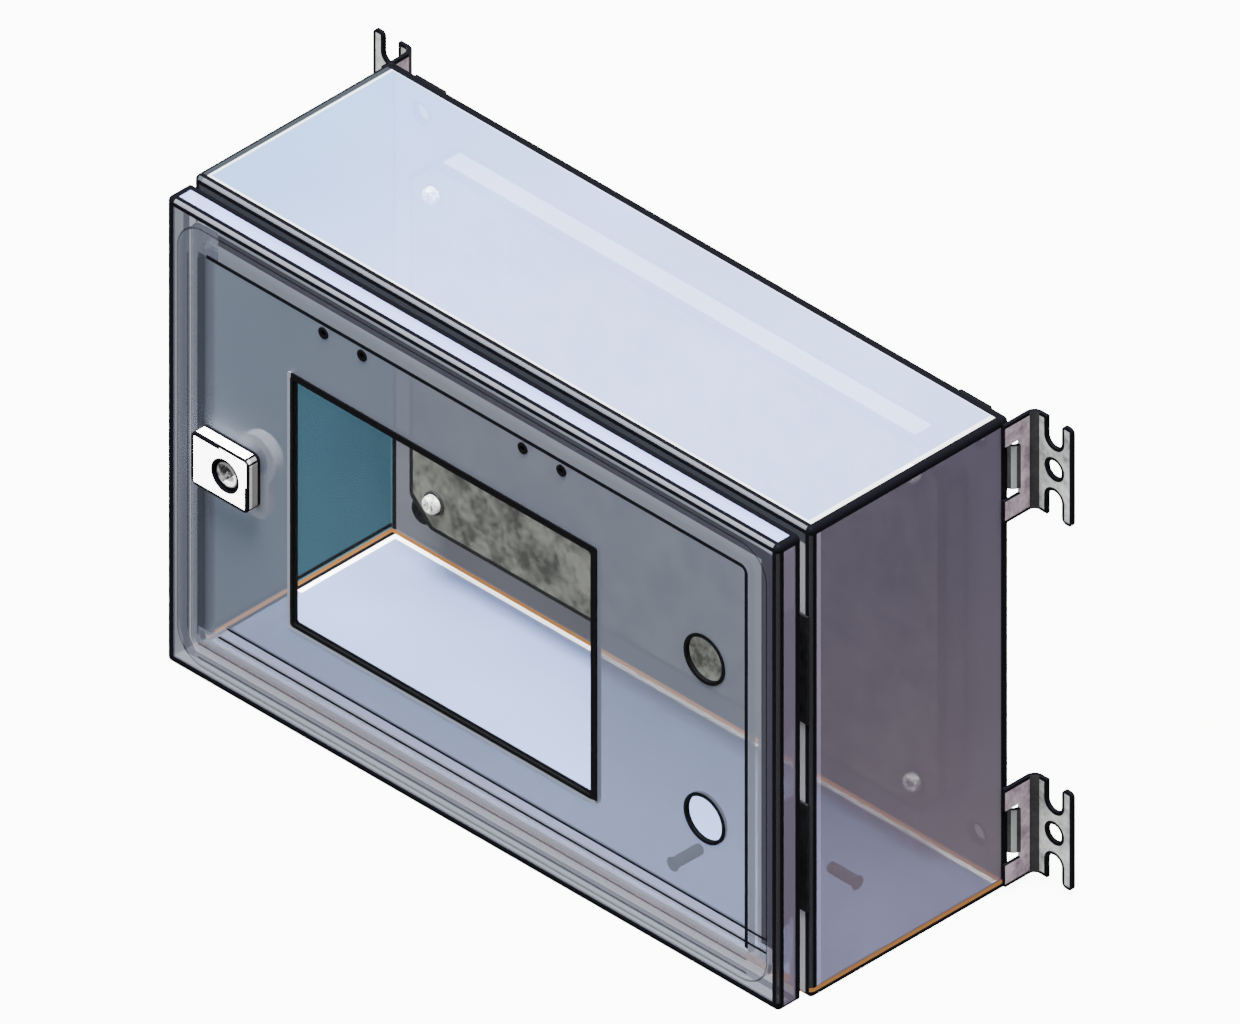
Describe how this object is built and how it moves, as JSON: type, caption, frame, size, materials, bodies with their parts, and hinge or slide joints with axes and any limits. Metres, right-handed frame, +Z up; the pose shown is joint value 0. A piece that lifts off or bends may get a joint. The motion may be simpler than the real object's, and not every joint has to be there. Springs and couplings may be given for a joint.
{
  "type": "wall enclosure with window door",
  "caption": "Wall enclosure of folded sheet with a hinged window door, quarter-turn lock, flanged mounting plate and slotted wall brackets.",
  "frame": {"origin": "middle of the underside of the space that the whole enclosure takes, lock and brackets included", "axes": "+X to the right seen from the front, +Y from the door to the wall, +Z up"},
  "size_m": [0.679, 0.2584, 0.395],
  "materials": {
    "body_paint": "see-through tinted coat, satin",
    "door_paint": "see-through grey coat, satin",
    "seal_foam": "foamed seal, matte",
    "clear_pane": "clear, polished",
    "black_rubber": "matte",
    "blackened_steel": "satin",
    "stud_steel": "coppered and dulled",
    "lock_white": "smooth moulded",
    "lock_core_zinc": "die cast, satin",
    "zinc_fastener": "bright zinc",
    "hinge_black": "black, satin",
    "hinge_pin_steel": "drawn",
    "galvanised_plate": "galvanised, mottled",
    "bracket_steel": "galvanised, mottled"
  },
  "bodies": {
    "enclosure": {"body_shell": "body_paint", "rear_panel": "body_paint", "earth_stud_body": "stud_steel", "upper_hinge_body_leaf": "hinge_black", "lower_hinge_body_leaf": "hinge_black", "upper_hinge_pin": "hinge_pin_steel", "lower_hinge_pin": "hinge_pin_steel", "hinge_screws": "hinge_pin_steel", "mounting_plate": "galvanised_plate", "plate_spacers": "zinc_fastener", "plate_washers": "zinc_fastener", "plate_screws": "zinc_fastener", "bracket_top_left": "bracket_steel", "bracket_top_right": "bracket_steel", "bracket_bottom_left": "bracket_steel", "bracket_bottom_right": "bracket_steel", "bracket_studs": "stud_steel", "bracket_nuts": "zinc_fastener"},
    "door": {"door_panel": "door_paint", "door_gasket": "seal_foam", "window_pane": "clear_pane", "window_seal": "black_rubber", "hole_edgings": "black_rubber", "cover_inserts": "blackened_steel", "earth_stud_door": "stud_steel", "lock_housing": "lock_white", "lock_nut": "zinc_fastener", "upper_hinge_door_leaf": "hinge_black", "lower_hinge_door_leaf": "hinge_black"},
    "latch": {"lock_core": "lock_core_zinc", "lock_cam": "zinc_fastener", "cam_screw": "zinc_fastener"}
  },
  "joints": [
    {"name": "door_hinge", "type": "hinge", "parent": "enclosure", "child": "door", "pos_m": [0.2925, -0.10015, 0.1975], "axis": [0, 0, 1], "range_deg": [0, 120]},
    {"name": "latch_turn", "type": "hinge", "parent": "door", "child": "latch", "pos_m": [-0.228, -0.11715, 0.1975], "axis": [0, 1, 0], "range_deg": [0, 90]}
  ]
}
